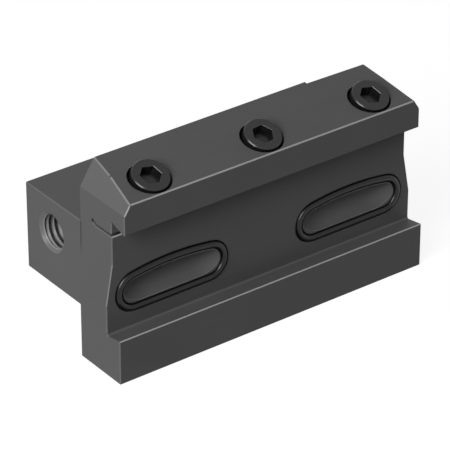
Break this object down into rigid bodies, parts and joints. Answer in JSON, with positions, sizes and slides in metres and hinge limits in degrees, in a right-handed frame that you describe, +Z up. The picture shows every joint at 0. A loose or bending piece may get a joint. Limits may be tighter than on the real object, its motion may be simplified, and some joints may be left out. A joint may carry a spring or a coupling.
{
  "type": "clamping block for parting and grooving blades",
  "caption": "Steel clamping block with a square shank, a ledged blade seat, a screwed clamp bar and sealed coolant pockets fed from a threaded port.",
  "frame": {"origin": "in the shank's bottom face, half way along the block and half way into the shank", "axes": "+X along the block towards its free end, +Y from the blade side back to the shank, +Z up"},
  "size_m": [0.097, 0.0432, 0.0552],
  "materials": {
    "black_steel": "satin black oxide over ground and milled steel",
    "clamp_steel": "satin black oxide over ground steel",
    "screw_steel": "black oxide, lightly oiled",
    "seal_rubber": "black nitrile rubber, smooth"
  },
  "bodies": {
    "block": {"block": "black_steel", "o_ring_left": "seal_rubber", "o_ring_right": "seal_rubber"},
    "clamp_bar": {"clamp_bar": "clamp_steel"},
    "clamp_screw_left": {"clamp_screw_left": "screw_steel"},
    "clamp_screw_middle": {"clamp_screw_middle": "screw_steel"},
    "clamp_screw_right": {"clamp_screw_right": "screw_steel"}
  },
  "joints": [
    {"name": "clamp_lift", "type": "slide", "parent": "block", "child": "clamp_bar", "axis": [0, -0.4226, 0.9063], "range_m": [0, 0.003]},
    {"name": "clamp_screw_left_turn", "type": "hinge", "parent": "clamp_bar", "child": "clamp_screw_left", "pos_m": [-0.0345, -0.02472, 0.03879], "axis": [0, -0.4226, 0.9063], "range_deg": [0, 1080.11]},
    {"name": "clamp_screw_middle_turn", "type": "hinge", "parent": "clamp_bar", "child": "clamp_screw_middle", "pos_m": [0, -0.02472, 0.03879], "axis": [0, -0.4226, 0.9063], "range_deg": [0, 1080.11]},
    {"name": "clamp_screw_right_turn", "type": "hinge", "parent": "clamp_bar", "child": "clamp_screw_right", "pos_m": [0.0345, -0.02472, 0.03879], "axis": [0, -0.4226, 0.9063], "range_deg": [0, 1080.11]}
  ],
  "couplings": [
    {"joint": "clamp_screw_left_turn", "follows": "clamp_lift", "rad_per_m": 6283.2},
    {"joint": "clamp_screw_middle_turn", "follows": "clamp_lift", "rad_per_m": 6283.2},
    {"joint": "clamp_screw_right_turn", "follows": "clamp_lift", "rad_per_m": 6283.2}
  ]
}
